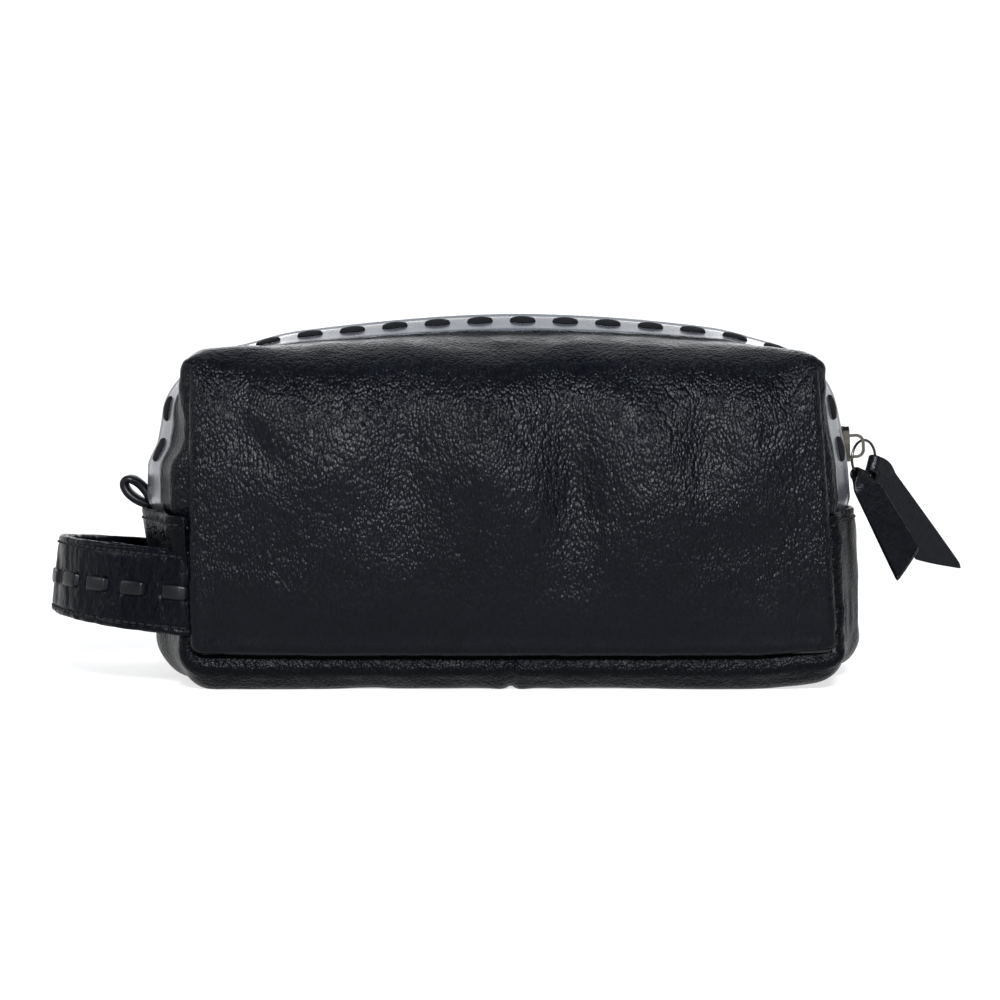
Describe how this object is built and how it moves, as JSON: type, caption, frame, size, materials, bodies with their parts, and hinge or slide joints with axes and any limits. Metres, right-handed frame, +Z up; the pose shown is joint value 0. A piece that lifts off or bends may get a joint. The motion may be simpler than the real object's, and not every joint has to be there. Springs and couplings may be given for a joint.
{
  "type": "makeup bag",
  "caption": "Soft boxy zip-top leather pouch for makeup, with laced bands beside the zip, a side carrying strap and folded pull tabs on a ring.",
  "frame": {"origin": "under the middle of the whole object's box, on the surface that it stands on", "axes": "+Z up; +X towards the end with the zip slider; -Y towards the front; the zip runs along X"},
  "size_m": [0.3419, 0.128, 0.1326],
  "materials": {
    "pebbled_leather": "soft pebbled grain, low sheen",
    "gusset_leather": "soft pebbled grain, low sheen",
    "band_leather": "smooth glazed surface",
    "lace_leather": "smooth, matt",
    "strap_leather": "creased, satin",
    "tab_leather": "smooth, satin, raw cut edges",
    "zip_tape": "woven twill",
    "lining_fabric": "plain woven",
    "thread": "twisted thread",
    "zip_metal": "dark antique",
    "slider_metal": "dark antique, worn on the edges"
  },
  "bodies": {
    "bag": {"front_panel": "pebbled_leather", "back_panel": "pebbled_leather", "gusset_left": "gusset_leather", "gusset_right": "gusset_leather", "zip_band_front": "band_leather", "zip_band_back": "band_leather", "lace_front": "lace_leather", "lace_back": "lace_leather", "zip_tape_front": "zip_tape", "zip_tape_back": "zip_tape", "zip_teeth_front": "zip_metal", "zip_teeth_back": "zip_metal", "zip_stop_left": "zip_metal", "zip_stop_right": "zip_metal", "zip_end_loop": "lace_leather", "strap_outer": "strap_leather", "strap_backing": "strap_leather", "strap_lace": "lace_leather", "strap_stitching": "thread", "hem_stitching_left": "thread", "hem_stitching_right": "thread", "lining_front": "lining_fabric", "lining_back": "lining_fabric", "lining_gusset_left": "lining_fabric", "lining_gusset_right": "lining_fabric"},
    "slider": {"zip_slider": "slider_metal"},
    "ring": {"pull_ring": "slider_metal"},
    "tab_front": {"pull_tab_front": "tab_leather"},
    "tab_back": {"pull_tab_back": "tab_leather"}
  },
  "joints": [
    {"name": "zip_slider_travel", "type": "hinge", "parent": "bag", "child": "slider", "pos_m": [0.0855, 0, 0.084], "axis": [0, -1, 0], "range_deg": [0, 67]},
    {"name": "ring_swing", "type": "hinge", "parent": "slider", "child": "ring", "pos_m": [0.13014, 0, 0.08534], "axis": [0, -1, 0], "range_deg": [0, 70]},
    {"name": "front_tab_swing", "type": "hinge", "parent": "ring", "child": "tab_front", "pos_m": [0.13216, 0.00202, 0.07422], "axis": [0.6725, 0.6725, -0.309], "range_deg": [-40, 12]},
    {"name": "back_tab_swing", "type": "hinge", "parent": "ring", "child": "tab_back", "pos_m": [0.13789, 0.00775, 0.078], "axis": [0.2649, 0.2649, 0.9272], "range_deg": [-30, 35]}
  ]
}
